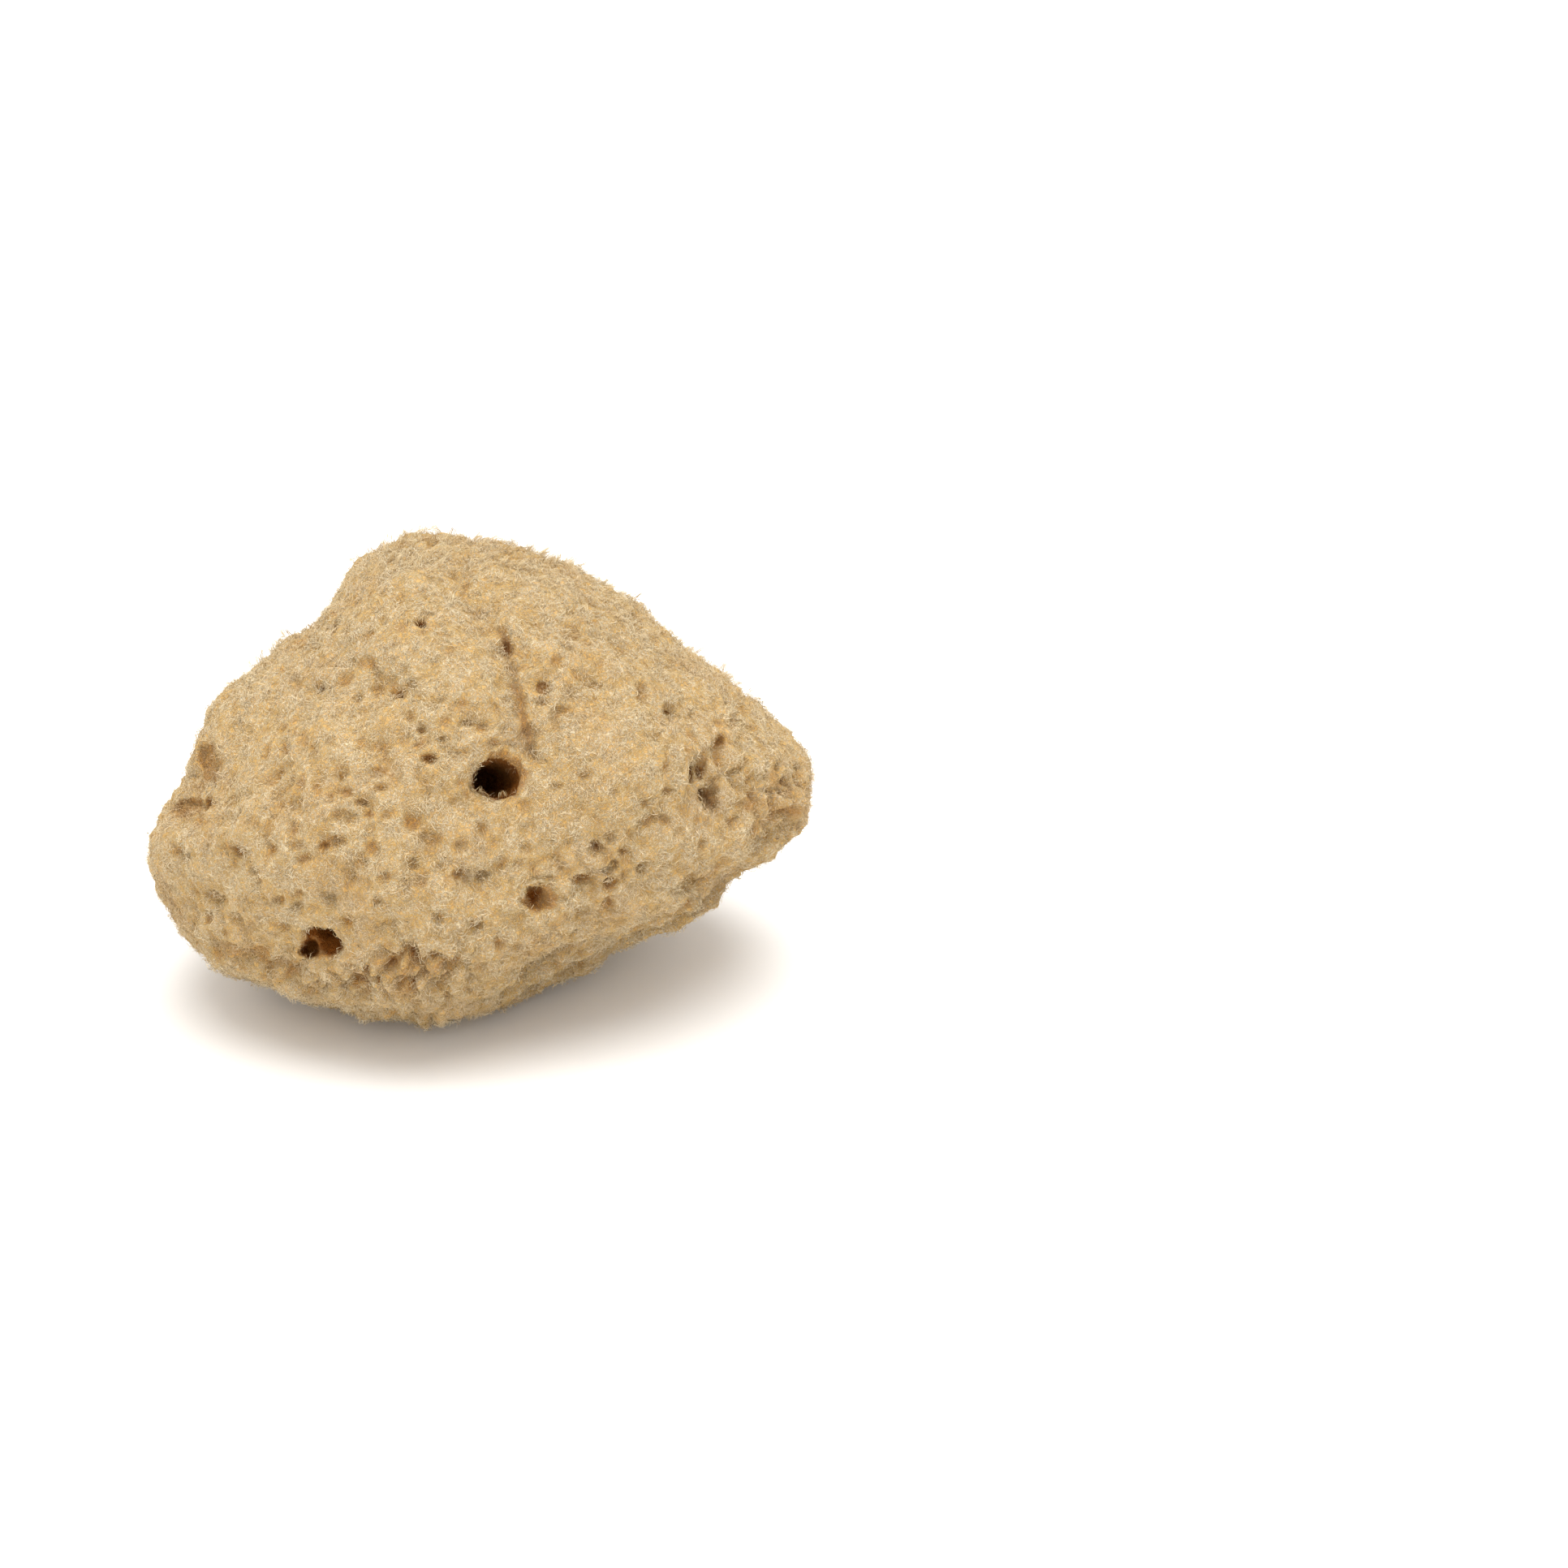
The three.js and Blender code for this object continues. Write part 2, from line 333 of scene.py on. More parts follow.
# Folds: photo pixels along the fold, width in pixels, depth in mm, below nought for a ridge.
faceFolds = [
    ([(507, 1171), (513, 1186), (501, 1200), (494, 1207)], 11, 0.9),
    ([(549, 1188), (546, 1203), (541, 1212)], 10, 1.0),
    ([(540, 1190), (565, 1187), (592, 1188)], 9, 0.8),
    ([(467, 1177), (475, 1187), (483, 1198)], 9, 0.8),
    ([(268, 1172), (290, 1175), (318, 1180)], 22, 1.1),
    ([(330, 1198), (344, 1189), (360, 1193)], 12, 1.1),
    ([(412, 1192), (427, 1180), (446, 1174), (462, 1185), (476, 1203), (492, 1222), (502, 1237)], 11, -0.9),
    ([(305, 1190), (322, 1192), (345, 1204), (366, 1212)], 12, -0.6),
    ([(305, 1010), (320, 1028), (336, 1046)], 10, 0.6),
    ([(925, 955), (934, 1005), (928, 1048)], 12, 0.7),
    ([(949, 950), (951, 1000), (945, 1040)], 13, 1.0),
    ([(652, 930), (648, 897), (640, 865), (633, 835), (626, 810), (618, 780)], 11, 1.4),
    ([(660, 1152), (700, 1130), (745, 1118)], 14, 0.5),
    ([(862, 1103), (885, 1088), (905, 1074)], 12, 0.9),
]

# Ledges that drop away below a line: photo pixels along it, width of the drop in pixels, drop in mm.
rightLedge = [(636, 1202), (680, 1168), (712, 1155), (752, 1147)]
rightLedge += [(792, 1139), (832, 1117), (905, 1068), (950, 1024)]
leftLedge = [(258, 1160), (300, 1178), (345, 1182), (385, 1186)]
faceLedges = [(rightLedge, 40, 3.5), (leftLedge, 22, 0.8)]

# Crumpled places on the face: x, y, width, height in photo pixels, height of the crumples in mm.
faceCrumples = [
    (515, 1200, 150, 90, 1.3),
    (400, 1205, 200, 46, 1.0),
    (735, 1172, 190, 46, 1.0),
    (880, 1092, 110, 60, 0.9),
    (968, 985, 80, 110, 0.9),
    (890, 950, 70, 130, 0.4),
    (710, 1085, 160, 90, 0.5),
    (245, 980, 60, 80, 0.5),
]

# Dull grey-brown patches and ruddy patches on the face: x, y, width, height in photo pixels, strength.
faceGreyPatches = [
    (646, 915, 34, 50, 1.0),
    (634, 845, 20, 60, 0.7),
    (620, 790, 18, 40, 0.5),
    (600, 925, 60, 24, 0.5),
    (864, 992, 34, 44, 0.9),
    (458, 794, 40, 26, 0.35),
    (735, 1170, 130, 34, 0.5),
    (880, 1090, 60, 40, 0.5),
    (447, 1196, 40, 24, 0.5),
    (820, 1010, 40, 20, 0.4),
    (530, 1190, 70, 40, 0.3),
]
faceRuddy = [
    (972, 978, 56, 60, 0.9),
    (262, 940, 34, 56, 0.8),
    (232, 998, 40, 22, 0.7),
    (876, 975, 28, 54, 0.8),
    (884, 918, 22, 36, 0.6),
    (705, 1178, 110, 30, 0.8),
    (900, 1080, 70, 40, 0.8),
    (520, 1195, 60, 35, 0.4),
    (395, 1180, 60, 22, 0.5),
    (225, 1140, 26, 40, 0.5),
    (200, 1090, 20, 60, 0.5),
    (752, 1080, 60, 60, 0.3),
]


def ovalFall(pixels, oval):
    # Nought in the middle of an oval on the photo, one on its edge.
    x, y, width, height = oval
    across = (pixels[:, 0] - x) / (0.5 * width)
    down = (pixels[:, 1] - y) / (0.5 * height)
    return across**2 + down**2


def strokeGaps(pixels, route):
    # How far each point is from a line drawn on the photo, and whether it is below the line.
    nearest = np.full(len(pixels), 1e9)
    side = np.zeros(len(pixels))
    for start, end in zip(route[:-1], route[1:]):
        a = np.array(start, float)
        run = np.array(end, float) - a
        t = np.clip((pixels - a) @ run / (run @ run), 0, 1)
        away = pixels - a - t[:, None] * run
        gap = np.linalg.norm(away, axis=1)
        closer = gap < nearest
        nearest = np.where(closer, gap, nearest)
        side = np.where(closer, np.sign(run[0] * away[:, 1] - run[1] * away[:, 0]), side)
    return nearest, side


def remeshedCopy(node):
    mesh = node.data.copy()
    work = bmesh.new()
    work.from_mesh(mesh)
    bmesh.ops.remove_doubles(work, verts=work.verts, dist=1e-6)
    work.to_mesh(mesh)
    work.free()
    holder = linkObject("core_draft", mesh)
    remesh = holder.modifiers.new("voxels", "REMESH")
    remesh.mode = "VOXEL"
    remesh.voxel_size = core["voxel"] * mm
    bpy.context.view_layer.update()
    done = bpy.data.meshes.new_from_object(holder.evaluated_get(bpy.context.evaluated_depsgraph_get()))
    bpy.data.objects.remove(holder)
    return done


def skyShare(points, normals, quads, rays):
    # How much of its sky each point sees, from a fan of short rays.
    tree = bvhtree.BVHTree.FromPolygons(points.tolist(), quads.tolist())
    fan = unit(rng.normal(size=(rays, 3)))
    seen = np.zeros(len(points))
    for ray in fan:
        ways = unit(normals + 0.95 * ray)
        starts = points + normals * 0.05
        for i in range(len(points)):
            hit = tree.ray_cast(Vector(starts[i]), Vector(ways[i]), core["skyReach"])
            seen[i] += hit[0] is None
    return seen / len(fan)


def meshArrays(mesh):
    points = np.empty(len(mesh.vertices) * 3)
    edges = np.empty(len(mesh.edges) * 2, np.int32)
    quads = np.empty(len(mesh.loops), np.int32)
    mesh.vertices.foreach_get("co", points)
    mesh.edges.foreach_get("vertices", edges)
    mesh.loops.foreach_get("vertex_index", quads)
    return points.reshape(-1, 3) / mm, edges.reshape(-1, 2), quads.reshape(-1, 4)


def addLooks(mesh, looks):
    for name, values in looks.items():
        mesh.attributes.new(name, "FLOAT", "POINT").data.foreach_set("value", values.ravel())
    mesh.polygons.foreach_set("use_smooth", np.ones(len(mesh.polygons), bool))
    mesh.update()


def tuftRelief(points, crown):
    # Soft peaks where the fibres gather into tufts.
    peaks = treeOf(points[scatter(points, core["tuftSpacing"])])
    gaps = np.array([peaks.find(p)[2] for p in points])
    low, high = core["tuftHeight"]
    heights = low + (high - low) * crown
    return heights * np.clip(1 - gaps / core["tuftSpacing"], 0, 1) ** core["tuftSharpness"]


def dimpleRelief(points, normals, facing):
    # Long and round dimples between the tufts, deeper in some patches than in others.
    tree = treeOf(points)
    dimpled = 0.3 + 0.7 * ease(-0.25, 0.3, noiseAt(points, core["dimplePatch"], 3.0))
    dimpled *= 1 - (1 - core["faceDimples"]) * facing
    dimples = np.zeros(len(points))
    for i in scatter(points, core["dimpleSpacing"]):
        share = rng.random() ** 1.6
        reach = 0.5 * (core["dimpleWidth"][0] + share * np.ptp(core["dimpleWidth"])) + core["dimpleMargin"]
        depth = core["dimpleDepth"][0] + share * np.ptp(core["dimpleDepth"])
        depth *= dimpled[i] * rng.uniform(0.4, 1.0)
        stretch = rng.uniform(*core["dimpleStretch"])
        axis = np.cross(normals[i], rng.normal(size=3))
        axis /= np.linalg.norm(axis)
        near = np.array([j for _, j, _ in tree.find_range(points[i], reach * stretch)])
        away = points[near] - points[i]
        along = away @ axis
        gap = (np.sum(away**2, 1) - along**2 + (along / stretch) ** 2) / reach**2
        dimples[near] += depth * np.clip(1.5 * (1 - gap), 0, 1)
    return dimples


def faceRelief(points, pixels, turn, facing):
    # The marks that the photo shows on the face, and how much of them are pits and folds.
    pits = np.zeros(len(points))
    for *oval, depth in facePits:
        pits += facing * depth * np.clip(1.4 * (1 - ovalFall(pixels, oval) / 1.5), 0, 1)
    marks = -pits
    for *oval, height in faceLumps:
        marks += ease(*core["lumpTurn"], turn) * height * np.clip(1 - ovalFall(pixels, oval) / 1.4, 0, 1)
    folds = np.zeros(len(points))
    ragged = noiseAt(points, core["raggedSize"], 11.0)
    for route, width, depth in faceFolds:
        gap = strokeGaps(pixels, route)[0] + core["foldRagged"] * ragged
        fold = facing * depth * np.clip(1 - np.clip(gap / (0.8 * width), 0, 1) ** 2, 0, 1)
        folds += np.maximum(fold, 0)
        marks -= fold
    knobs = np.clip(6 * np.abs(noiseAt(points, core["knobSize"], 40.0)), 0, 1.4) - 0.9
    for *oval, height in faceCrumples:
        crumple = facing * height * core["knobHeight"] * knobs * np.exp(-1.3 * ovalFall(pixels, oval))
        folds += 0.7 * np.maximum(-crumple, 0)
        marks += crumple
    for route, width, drop in faceLedges:
        gap, side = strokeGaps(pixels, route)
        below = gap * side + core["ledgeRagged"] * ragged
        fall = ease(-3, 4, below) * (1 - ease(0.35 * width, 1.1 * width, below)) * (gap < 1.5 * width)
        marks -= facing * drop * fall * (1 + 0.5 * ragged)
    return marks, pits, folds


def tornRims(points, pixels, seen):
    # The rims of the large openings go a little in and out.
    for oval in faceMouths:
        ways = np.outer(pixels[:, 0] - oval[0], rightward) - np.outer(pixels[:, 1] - oval[1], upward)
        nearRim = np.exp(-(((ovalFall(pixels, oval) - 1.0) / 0.45) ** 2)) * seen
        tear = core["rimTear"] * noiseAt(points, core["rimTearSize"], 90.0) * nearRim
        points = points + unit(ways) * tear[:, None]
    return points


def coreLooks(points, pixels, facing, seen, relief, hollow, clump, sky):
    # What the finish reads at each point: how much painted shade it has in pits and hollows, how grey-brown,
    # how ruddy, how pale.
    stain = np.zeros(len(points))
    for *oval, strength in faceGreyPatches:
        stain += facing * strength * np.exp(-ovalFall(pixels, oval))
    ruddy = 0.35 * ease(0.0, 0.5, noiseAt(points, 9.0, 31.0))
    for *oval, strength in faceRuddy:
        ruddy += facing * strength * np.exp(-ovalFall(pixels, oval))
    # Painted shade: darker and more amber the deeper the hollow, in the valleys of the relief, where the
    # fibres gather less, and at the mouths of the openings.
    amber = 0.6 * (1 - np.exp(-0.9 * hollow)) + 0.1 * np.clip(-relief, 0, 1.5)
    amber += 0.2 * ease(0.05, -0.3, clump)
    for oval in faceMouths:
        amber = np.maximum(amber, 0.6 * ease(1.15, 0.75, ovalFall(pixels, oval)) * seen)
    # More painted shade where a point sees little open sky; in the recesses along the line of sight it is
    # capped at their darkest value.
    pit = np.clip(amber + 0.9 * ease(*core["skyDark"], sky), 0, 1)
    for *oval, depth, darkest in faceShafts:
        pit = np.minimum(pit, 1 - (1 - darkest) * ease(1.8, 1.2, ovalFall(pixels, oval)) * seen)
    return {
        "pit": pit,
        "stain": np.clip(stain, 0, 1),
        "ruddy": np.clip(ruddy, 0, 1),
        # Paler on the tops of the relief, which is painted light, and paler where the fibres gather; no
        # paleness in the painted shade.
        "tone": np.clip(0.12 + 0.2 * relief + 0.3 * clump, 0, 0.5) * (1 - pit) ** 2,
    }


def makeCore():
    mesh = remeshedCopy(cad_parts["sponge"])
    points, edges, quads = meshArrays(mesh)
    print("core remeshed:", len(points), "points", len(quads), "quads")

    points = relax(points, edges, core["relaxRounds"]) * core["shrink"]
    normals = pointNormals(relax(points, edges, core["normalRounds"]), quads)
    sky = skyShare(points, normals, quads, core["skyRays"][0])
    outside = ease(0.3, 0.75, relax(sky[:, None], edges, 4)[:, 0])
    above = ease(*core["soleBlend"], points[:, 2])
    crown = ease(0.5, 0.9, normals @ np.array(upward)) * ease(*core["crownHeights"], points[:, 2])
    pixels = photoPixels(points)
    turn = np.sum(normals * unit(eyePlace - points), 1)
    facing = ease(*core["faceTurn"], turn)
    guard = np.ones(len(points))
    for oval in faceMouths:
        guard *= 1 - ease(1.7, 1.1, ovalFall(pixels, oval)) * (facing > 0)
    facing = facing * guard

    free = guard * (core["wallRelief"] + (1 - core["wallRelief"]) * outside)
    walls = 0.6 * (1 - outside) + 0.4 * (1 - guard)
    relief = core["lumpHeight"] * noiseAt(points, core["lumpSize"], 7.0)
    grain = core["grainHeight"] * noiseAt(points, core["grainSize"])
    tufts = tuftRelief(points, crown)
    dimples = dimpleRelief(points, normals, facing) * free
    marks, pits, folds = faceRelief(points, pixels, turn, facing)
    move = (relief + tufts + grain) * free + grain * walls - dimples + marks
    hollow = dimples + pits + 0.8 * folds
    points = points + normals * (move * above)[:, None]
    seen = np.sum(normals * unit(eyePlace - points), 1) > 0
    points = tornRims(points, pixels, seen)
    for *oval, depth, darkest in faceShafts:
        inward = seen * depth * np.clip(1.6 * (1 - ovalFall(pixels, oval)), 0, 1)
        points = points - np.outer(inward, outward)
        hollow += 0.5 * inward
    points = relax(points, edges, 1, 0.35)
    points[:, 2] = np.maximum(points[:, 2], 0)
    normals = pointNormals(points, quads)
    sky = relax(skyShare(points, normals, quads, core["skyRays"][1])[:, None], edges, 2)[:, 0]
    print("core shaped: sky share", np.percentile(sky, [2, 25, 50, 75, 98]).round(2))

    clump = noiseAt(points, core["clumpSize"], 60.0)
    looks = coreLooks(points, pixels, facing, seen, relief, hollow, clump, sky)
    mesh.vertices.foreach_set("co", (points * mm).ravel())
    addLooks(mesh, looks)
    return linkObject("sponge_core", mesh), {
        "points": points,
        "normals": normals,
        "quads": quads,
        "looks": looks,
        "crown": crown,
        "facing": facing,
        "open": ease(0.15, 0.45, sky),
        "clump": clump,
        "tree": treeOf(points),
    }


corePiece, surface = makeCore()


# The fibres: thin closed spindles that wander over the core in shared directions. Sizes in mm.
felt = {
    "count": 70000,
    "pieces": 3,
    "bends": 1,
    "length": (0.6, 1.4),
    "radius": (0.027, 0.045),
    "loft": (0.04, 0.35),  # height over the core
    "raised": 0.3,  # share of the tips that stand up
    "raisedLoft": (0.35, 0.75),
    "curl": (30, 110),  # degrees from one stretch to the next
    "flowSize": 2.2,
    "flowShare": 0.45,
    "tone": (0.4, 0.22),
}
strands = {
    "count": 23000,
    "pieces": 2,
    "bends": 2,
    "length": (1.2, 2.5),
    "radius": (0.028, 0.05),
    "loft": (0.1, 0.5),
    "raised": 0.25,
    "raisedLoft": (0.5, 0.9),
    "curl": (40, 110),
    "flowSize": 3.0,
    "flowShare": 0.5,
    "tone": (0.55, 0.22),
}

# Wisps that stand on the crown, each a bunch of hairs drawn to one leaning tip.
wisps = {
    "spacing": 1.5,
    "hairs": 10,
    "height": (0.8, 2.4),
    "spread": 0.42,
    "lean": (0.3, 1.1),  # of the height
    "drift": (0.6, 0.0, 0.0),  # the way that they all lean a little
    "stops": ((0.5, 0.05, 0.75), (0.9, 0.4, 0.45), (1.0, 1.0, 0.35)),  # shares of rise, lean and spread
    "radius": (0.022, 0.036),
    "flowSize": 5.0,
    "tone": (0.45, 0.2),
}
rootSink = 0.15  # how far the fibres start inside the core
lowestFibre = 0.1  # over the floor


def growRoots(count, weights):
    quads = surface["quads"]
    areas = np.linalg.norm(quadCrosses(surface["points"], quads), axis=1)
    chance = areas * weights[quads].mean(1)
    rows = quads[rng.choice(len(quads), count, p=chance / chance.sum())]
    s, t = rng.random((2, count, 1))
    shares = [(1 - s) * (1 - t), s * (1 - t), s * t, (1 - s) * t]
    return sum(surface["points"][rows[:, k]] * shares[k] for k in range(4))


def settle(points, heights):
    # Points moved to a height over the nearest spot of the core.
    nearest = np.array([surface["tree"].find(p)[1] for p in points])
    normals = surface["normals"][nearest]
    gaps = np.sum((points - surface["points"][nearest]) * normals, 1)
    return points + normals * (heights - gaps)[:, None], normals, nearest


def turned(ways, axes, angles):
    c, s = np.cos(angles)[:, None], np.sin(angles)[:, None]
    return ways * c + np.cross(axes, ways) * s + axes * np.sum(axes * ways, 1, keepdims=True) * (1 - c)


def flattened(ways, normals):
    return unit(ways - normals * np.sum(ways * normals, 1, keepdims=True))


def spindleMesh(name, route, radii, nearest, tone):
    # Each fibre runs from a point through rings of three to a point.
    count, stops = route.shape[:2]
    rings = stops - 2
    run = unit(route[:, -1] - route[:, 0])
    side = unit(np.cross(run, unit(rng.normal(size=run.shape))))
    other = np.cross(run, side)
    columns = [route[:, :1]]
    for r in range(rings):
        for k in range(3):
            angle = 2 * math.pi * k / 3
            offset = side * math.cos(angle) + other * math.sin(angle)
            columns.append((route[:, r + 1] + offset * radii[:, None])[:, None])
    columns.append(route[:, -1:])
    points = np.concatenate(columns, 1)
    size = points.shape[1]
    faces = []
    for k in range(3):
        after = (k + 1) % 3
        faces.append((0, 1 + after, 1 + k))
        for r in range(rings - 1):
            a, b = 1 + 3 * r + k, 1 + 3 * r + after
            faces += [(a, b, b + 3), (a, b + 3, a + 3)]
        last = 1 + 3 * (rings - 1)
        faces.append((last + k, last + after, size - 1))
    index = np.array(faces)[None] + (np.arange(count) * size)[:, None, None]
    mesh = bpy.data.meshes.new(name)
    mesh.from_pydata((points.reshape(-1, 3) * mm).tolist(), [], index.reshape(-1, 3).tolist())
    stopOf = np.concatenate([[0], np.repeat(np.arange(1, stops - 1), 3), [stops - 1]])
    tipward = stopOf / (stops - 1)
    looks = {key: surface["looks"][key][nearest][:, stopOf] for key in ("pit", "stain", "ruddy")}
    # The painted shade of the core runs up each fibre, fading to half at the tip.
    looks["pit"] = looks["pit"] * (1 - 0.5 * tipward)
    looks["tone"] = tone[:, None] * (0.4 + 0.6 * tipward) * (1 - 0.7 * looks["pit"])
    addLooks(mesh, looks)
    return linkObject(name, mesh)


def standing():
    # Fibres thin out in the pits, stay off the walls of the openings and leave the flat sole bare.
    bare = ease(0.1, 1.5, surface["points"][:, 2])
    bare = bare * np.clip(1 + 1.4 * surface["clump"], 0.3, 1.8)
    return bare * surface["open"] * (1 - 0.85 * ease(0.3, 0.8, surface["looks"]["pit"]))


def makeFibres(name, hair):
    roots = growRoots(hair["count"], standing() * (1 + 0.7 * surface["facing"]) + 1e-6)
    count = len(roots)
    step = rng.uniform(*hair["length"], count)[:, None] / (hair["bends"] + 1)
    spin = rng.choice([-1, 1], count) * np.radians(rng.uniform(*hair["curl"], count))
    swing = rng.choice([-1, 1], count)
    loose = unit(rng.normal(size=roots.shape)) * (1 - hair["flowShare"])
    places, normals, nearest = settle(roots, np.full(count, -rootSink))
    route, under = [places], [nearest]
    places = roots
    fluff = np.clip(1 + 1.6 * surface["clump"][nearest], 0.4, 1.7)
    for part in range(hair["bends"] + 1):
        flow = unit(noiseVectors(places, hair["flowSize"], 50.0)) * hair["flowShare"]
        ways = turned(flattened(flow + loose, normals), normals, spin * (part if part < 2 else swing))
        loft = rng.uniform(*hair["loft"], count)
        if part == hair["bends"]:
            raised = rng.random(count) < hair["raised"]
            loft = np.where(raised, rng.uniform(*hair["raisedLoft"], count), loft)
        places, normals, nearest = settle(places + ways * step, loft * fluff)
        route.append(places)
        under.append(nearest)
    route, under = np.stack(route, 1), np.stack(under, 1)
    route[:, :, 2] = np.maximum(route[:, :, 2], lowestFibre)
    radii = rng.uniform(*hair["radius"], count)
    tone = hair["tone"][0] + 0.5 * (fluff - 1) + rng.normal(0, hair["tone"][1], count)
    # Paler on the upward-facing crown: painted light on the top.
    tone = np.clip(tone + 0.15 * surface["crown"][under[:, 0]], 0, 1)
    pieces = []
    for number, part in enumerate(np.array_split(np.argsort(roots[:, 0]), hair["pieces"])):
        pieces.append(spindleMesh(f"{name}_{number + 1}", route[part], radii[part], under[part], tone[part]))
    return pieces


def makeWisps():
    middles = scatter(surface["points"], wisps["spacing"])
    chance = 0.8 * surface["crown"][middles] ** 2 * standing()[middles]
    middles = middles[rng.random(len(middles)) < chance]
    normals = surface["normals"][middles]
    flow = unit(noiseVectors(surface["points"][middles], wisps["flowSize"], 50.0)) + wisps["drift"]
    heights = rng.uniform(*wisps["height"], len(middles))[:, None] * surface["crown"][middles][:, None]
    leans = flattened(flow, normals) * heights * rng.uniform(*wisps["lean"], (len(middles), 1))

    # Each hair goes up first, then bends over to the tip of its wisp.
    of = np.repeat(np.arange(len(middles)), wisps["hairs"])
    count = len(of)
    spread = rng.normal(0, wisps["spread"], (count, 3))
    feet = surface["points"][middles][of]
    roots, _, nearest = settle(feet + spread, np.full(count, -rootSink))
    rise = normals[of] * heights[of] * rng.uniform(0.6, 1.05, (count, 1))
    lean = leans[of] + rng.normal(0, 0.15, (count, 3))
    route = [roots]
    for up, over, gather in wisps["stops"]:
        route.append(feet + gather * (roots - feet) + up * rise + over * lean)
    route = np.stack(route, 1)
    under = np.repeat(nearest[:, None], route.shape[1], 1)
    tone = np.clip(rng.normal(*wisps["tone"], count), 0, 1)
    return [spindleMesh("sponge_wisps", route, rng.uniform(*wisps["radius"], count), under, tone)]


hairPieces = makeFibres("sponge_felt", felt) + makeFibres("sponge_strands", strands) + makeWisps()
print("fibres grown:", [len(p.data.polygons) for p in hairPieces])


class Wire:
    # One socket of a finish, with arithmetic.
    def __init__(self, finish, socket):
        self.finish = finish
        self.socket = socket

    def math(self, operation, first, second):
        return self.finish.add("ShaderNodeMath", {"operation": operation}, {0: first, 1: second})

    def __add__(self, other):
        return self.math("ADD", self, other)

    def __sub__(self, other):
        return self.math("SUBTRACT", self, other)

    def __rsub__(self, other):
        return self.math("SUBTRACT", other, self)

    def __mul__(self, other):
        return self.math("MULTIPLY", self, other)

    __radd__ = __add__
    __rmul__ = __mul__

    def __abs__(self):
        return self.math("ABSOLUTE", self, 0.0)

    def larger(self, other):
        return self.math("MAXIMUM", self, other)


class Finish:
    def __init__(self, name):
        self.material = bpy.data.materials.new(name)
        self.material.use_nodes = True
        self.tree = self.material.node_tree
        self.tree.nodes.clear()

    def add(self, kind, settings, inputs, output=0):
        node = self.tree.nodes.new(kind)
        for key, value in settings.items():
            if key == "stops":
                ramp = node.color_ramp
                while len(ramp.elements) < len(value):
                    ramp.elements.new(0.5)
                for element, (place, colour) in zip(ramp.elements, value):
                    element.position = place
                    element.color = colour
            else:
                setattr(node, key, value)
        for key, value in inputs.items():
            if isinstance(value, Wire):
                self.tree.links.new(value.socket, node.inputs[key])
            else:
                node.inputs[key].default_value = value
        return Wire(self, node.outputs[output]) if node.outputs else None

    def attribute(self, name):
        return self.add("ShaderNodeAttribute", {"attribute_name": name}, {}, "Fac")

    def mix(self, factor, first, second):
        settings = {"data_type": "RGBA", "blend_type": "MIX", "clamp_factor": True}
        return self.add("ShaderNodeMix", settings, {0: factor, 6: first, 7: second}, 2)


def tint(red, green, blue):
    # A colour as seen on a screen, 0 to 255, as linear light.
    def linear(c):
        c = c / 255
        return c / 12.92 if c <= 0.04045 else ((c + 0.055) / 1.055) ** 2.4

    return (linear(red), linear(green), linear(blue), 1.0)


# From open to deep: painted shade, from the open surface down to the deepest recesses.
spongeColours = {
    "open": tint(218, 193, 145),
    "dimple": tint(200, 166, 105),
    "pit": tint(177, 128, 65),
    "deep": tint(136, 81, 28),
    "ruddy": tint(192, 147, 88),
    "stain": tint(165, 133, 96),
    "pale": tint(235, 223, 197),
    "shade": tint(184, 145, 87),
}

# What core and fibres share: the scales of the noises per metre, and how strongly each look shows.
spongeLook = {
    "patchScale": 260.0,
    "patchShare": 0.4,
    "fleckScale": 750.0,
    "fleckShare": 0.2,
    "paleShare": 0.85,
    "ruddyShare": 0.55,
    "greyBrownShare": 0.6,
    "pitShadeStops": (0.0, 0.22, 0.55, 1.0),  # painted shade: open, dimple, pit, deep
    "roughness": 0.9,
    "specular": 0.08,
    "bumpHeight": 0.0003,
    "glowRadius": (0.9, 0.65, 0.35),
    "glowScale": 0.0012,
}


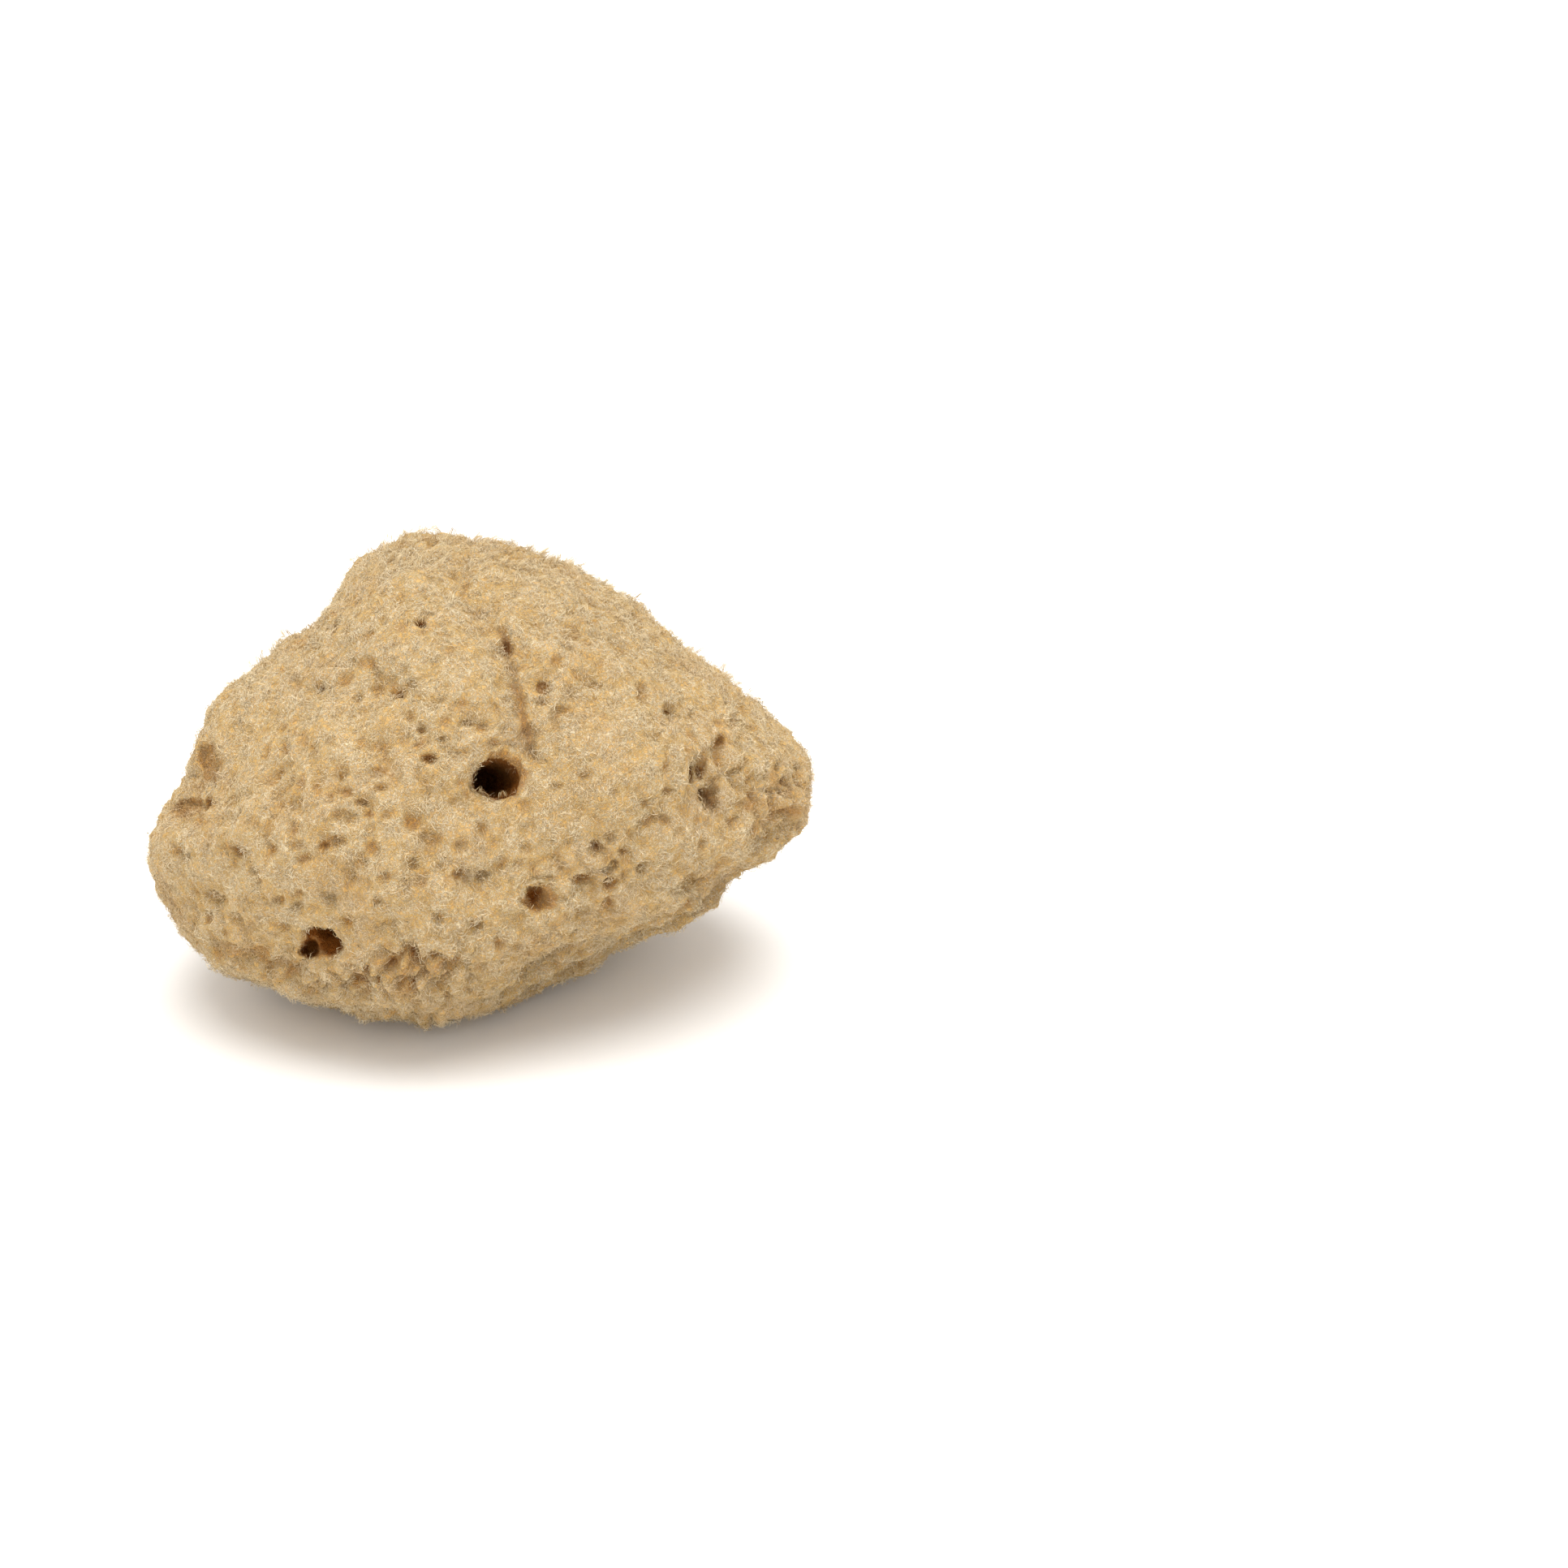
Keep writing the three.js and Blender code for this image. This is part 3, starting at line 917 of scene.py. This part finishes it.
def spongeFinish(name, look):
    finish = Finish(name)
    pit, tone = finish.attribute("pit"), finish.attribute("tone")
    stain, ruddy = finish.attribute("stain"), finish.attribute("ruddy")
    place = finish.add("ShaderNodeTexCoord", {}, {}, "Object")
    depths = ("open", "dimple", "pit", "deep")
    stops = [(at, spongeColours[key]) for at, key in zip(spongeLook["pitShadeStops"], depths)]
    # The painted shade sets where on the ramp from open to deep the colour lies, shifted by patches and
    # flecks of noise.
    hollow = pit
    for key, detail in (("patch", 3.0), ("fleck", 2.0)):
        settings = {"Vector": place, "Scale": spongeLook[key + "Scale"], "Detail": detail}
        blot = finish.add("ShaderNodeTexNoise", {}, settings)
        hollow = hollow + (blot - 0.5) * spongeLook[key + "Share"]
    colour = finish.add("ShaderNodeValToRGB", {"stops": stops}, {0: hollow})
    colour = finish.mix(tone * spongeLook["paleShare"], colour, spongeColours["pale"])
    colour = finish.mix(ruddy * spongeLook["ruddyShare"], colour, spongeColours["ruddy"])
    colour = finish.mix(stain * spongeLook["greyBrownShare"], colour, spongeColours["stain"])

    # Fine threads, drawn where a noise crosses its middle value, over darker gaps.
    threads = 0.0
    for scale, width in look["threads"]:
        swirl = finish.add("ShaderNodeTexNoise", {}, {"Vector": place, "Scale": scale, "Distortion": 0.7})
        line = 1.0 - abs(swirl - 0.5) * (1 / width)
        threads = line.larger(threads)
    gap = finish.mix(look["gap"] * (1.0 - pit), colour, spongeColours["shade"])
    thread = finish.mix(look["thread"] * (1.0 - pit), colour, spongeColours["pale"])
    colour = finish.mix(threads, gap, thread)
    sockets = {
        "Base Color": colour,
        "Roughness": spongeLook["roughness"],
        "Specular IOR Level": spongeLook["specular"],
        "Subsurface Weight": look["glow"],
        "Subsurface Radius": spongeLook["glowRadius"],
        "Subsurface Scale": spongeLook["glowScale"],
    }
    if look["bump"]:
        bumps = {"Strength": look["bump"], "Distance": spongeLook["bumpHeight"], "Height": threads}
        sockets["Normal"] = finish.add("ShaderNodeBump", {}, bumps)
    shader = finish.add("ShaderNodeBsdfPrincipled", {}, sockets)
    finish.add("ShaderNodeOutputMaterial", {}, {"Surface": shader})
    return finish.material


coreLook = {
    "threads": [(1300.0, 0.06), (1900.0, 0.06)],  # how many a metre, and how wide
    "gap": 0.8,
    "thread": 0.45,
    "bump": 0.8,
    "glow": 0.18,
}
fibreLook = {"threads": [(2500.0, 0.3)], "gap": 0.1, "thread": 0.1, "bump": 0.0, "glow": 0.0}
coreFinish = spongeFinish("sponge_core_finish", coreLook)
fibreFinish = spongeFinish("sponge_fibre_finish", fibreLook)
corePiece.data.materials.clear()
corePiece.data.materials.append(coreFinish)
for piece in hairPieces:
    piece.data.materials.append(fibreFinish)

# Studio: a pale floor, a broad soft sun from almost straight above, and a weaker one from the front left.
studio = {
    "floorSide": 6.0,
    "floorColour": (0.91, 0.895, 0.87, 1.0),
    "skyStrength": 0.9,
    "keyStrength": 2.75,
    "keyTurn": (10, 3),  # degrees about x and y from straight down
    "keySpread": 50,
    "fillStrength": 0.7,
    "fillTurn": (58, -25),
    "fillSpread": 60,
}


def makeSun(name, strength, turn, spread):
    data = bpy.data.lights.new(name, "SUN")
    data.energy = strength
    data.angle = math.radians(spread)
    lamp = linkObject(name, data)
    lamp.rotation_euler = (math.radians(turn[0]), math.radians(turn[1]), 0)


def makeStudio():
    work = bmesh.new()
    bmesh.ops.create_grid(work, x_segments=1, y_segments=1, size=studio["floorSide"] / 2)
    mesh = bpy.data.meshes.new("floor")
    work.to_mesh(mesh)
    work.free()
    finish = Finish("floor_finish")
    shader = finish.add(
        "ShaderNodeBsdfPrincipled",
        {},
        {"Base Color": studio["floorColour"], "Roughness": 0.9, "Specular IOR Level": 0.1},
    )
    finish.add("ShaderNodeOutputMaterial", {}, {"Surface": shader})
    mesh.materials.append(finish.material)
    makeSun("key", studio["keyStrength"], studio["keyTurn"], studio["keySpread"])
    makeSun("fill", studio["fillStrength"], studio["fillTurn"], studio["fillSpread"])
    world = bpy.data.worlds.new("studio")
    world.use_nodes = True
    sky = world.node_tree.nodes["Background"]
    sky.inputs["Color"].default_value = (1, 1, 1, 1)
    sky.inputs["Strength"].default_value = studio["skyStrength"]
    scene.world = world
    scene.view_settings.view_transform = "Standard"
    return linkObject("floor", mesh)


makeStudio()
for piece in [corePiece] + hairPieces:
    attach(piece, "root")
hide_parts("sponge")
